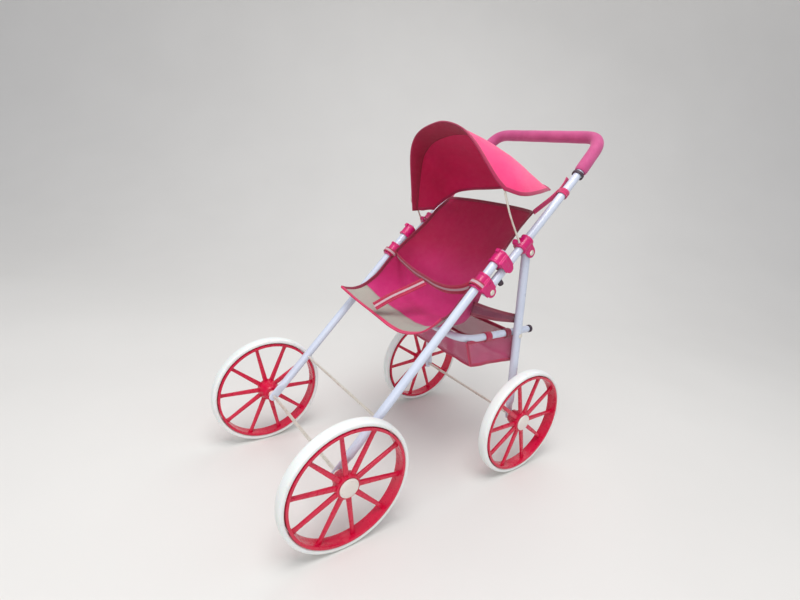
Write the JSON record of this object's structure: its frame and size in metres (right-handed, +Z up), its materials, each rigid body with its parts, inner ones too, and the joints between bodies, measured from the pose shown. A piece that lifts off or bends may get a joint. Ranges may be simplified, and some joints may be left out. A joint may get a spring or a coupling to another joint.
{
  "type": "doll stroller",
  "caption": "Folding toy doll stroller: pale tube frame, spoked pink wheels with white tyres, sling seat with T-strap harness, hooped canopy, foam push handle and mesh basket.",
  "frame": {"origin": "centre of the bounding box's footprint, on the floor", "axes": "+Z up, the front of the stroller faces -Y, and +X is the side of the nodes named left"},
  "size_m": [0.303, 0.5506, 0.5815],
  "materials": {
    "frame": "glossy",
    "zinc": "satin",
    "tyre": "soft white foam plastic",
    "wheel": "glossy",
    "cap": "semi-gloss",
    "clip": "glossy",
    "dark_plastic": "matte",
    "grip_foam": "matte foam",
    "canopy_fabric": "woven polyester",
    "seat_fabric": "woven polyester",
    "belt": "webbing",
    "basket_mesh": "mesh"
  },
  "bodies": {
    "front_frame": {"front_leg_left": "frame", "front_leg_right": "frame", "front_cross_rod": "zinc", "front_axle": "zinc", "front_left_axle_spacer": "cap", "front_right_axle_spacer": "cap", "fold_joint_left": "clip", "fold_joint_right": "clip", "fold_pin_left": "zinc", "fold_pin_right": "zinc", "latch_clip_left": "clip", "latch_clip_right": "clip", "seat_base": "seat_fabric", "harness_waist_strap": "belt", "harness_crotch_strap": "belt"},
    "handle_frame": {"handle_tube": "frame", "handle_grip": "grip_foam", "grip_end_ring_left": "dark_plastic", "grip_end_ring_right": "dark_plastic", "latch_stud_left": "dark_plastic", "latch_stud_right": "dark_plastic", "rear_leg_bracket_left": "clip", "rear_leg_bracket_right": "clip", "rear_leg_pin_left": "zinc", "rear_leg_pin_right": "zinc", "seat_back": "seat_fabric", "seat_tie_left": "belt", "seat_tie_right": "belt"},
    "rear_frame": {"rear_leg_left": "frame", "rear_leg_right": "frame", "rear_axle": "zinc", "rear_left_axle_spacer": "cap", "rear_right_axle_spacer": "cap", "support_tube": "frame", "support_end_cap_left": "dark_plastic", "support_end_cap_right": "dark_plastic", "support_pin_left": "zinc", "support_pin_right": "zinc", "basket": "basket_mesh", "stay_strap_left": "basket_mesh", "stay_strap_right": "basket_mesh"},
    "canopy": {"canopy_bow": "zinc", "canopy_hood": "canopy_fabric"},
    "front_left_wheel_assembly": {"front_left_tyre": "tyre", "front_left_wheel": "wheel", "front_left_hub_cap": "cap"},
    "front_right_wheel_assembly": {"front_right_tyre": "tyre", "front_right_wheel": "wheel", "front_right_hub_cap": "cap"},
    "rear_left_wheel_assembly": {"rear_left_tyre": "tyre", "rear_left_wheel": "wheel", "rear_left_hub_cap": "cap"},
    "rear_right_wheel_assembly": {"rear_right_tyre": "tyre", "rear_right_wheel": "wheel", "rear_right_hub_cap": "cap"}
  },
  "joints": [
    {"name": "fold_hinge", "type": "hinge", "parent": "front_frame", "child": "handle_frame", "pos_m": [0, 0.0515, 0.33188], "axis": [1, 0, 0], "range_deg": [-110, 0], "deforming": ["seat_back"]},
    {"name": "rear_leg_hinge", "type": "hinge", "parent": "handle_frame", "child": "rear_frame", "pos_m": [0, 0.12871, 0.38876], "axis": [1, 0, 0], "range_deg": [0, 85.2], "deforming": ["stay_strap_left", "stay_strap_right"]},
    {"name": "canopy_tilt", "type": "hinge", "parent": "handle_frame", "child": "canopy", "pos_m": [0, 0.10053, 0.40395], "axis": [1, 0, 0], "range_deg": [-4, 25]},
    {"name": "front_left_wheel_spin", "type": "hinge", "parent": "front_frame", "child": "front_left_wheel_assembly", "pos_m": [0.1425, -0.1805, 0.095], "axis": [1, 0, 0], "continuous": true},
    {"name": "front_right_wheel_spin", "type": "hinge", "parent": "front_frame", "child": "front_right_wheel_assembly", "pos_m": [-0.1425, -0.1805, 0.095], "axis": [1, 0, 0], "continuous": true},
    {"name": "rear_left_wheel_spin", "type": "hinge", "parent": "rear_frame", "child": "rear_left_wheel_assembly", "pos_m": [0.1405, 0.1635, 0.095], "axis": [1, 0, 0], "continuous": true},
    {"name": "rear_right_wheel_spin", "type": "hinge", "parent": "rear_frame", "child": "rear_right_wheel_assembly", "pos_m": [-0.1405, 0.1635, 0.095], "axis": [1, 0, 0], "continuous": true}
  ],
  "couplings": [
    {"joint": "rear_leg_hinge", "follows": "fold_hinge", "ratio": -0.7745}
  ]
}
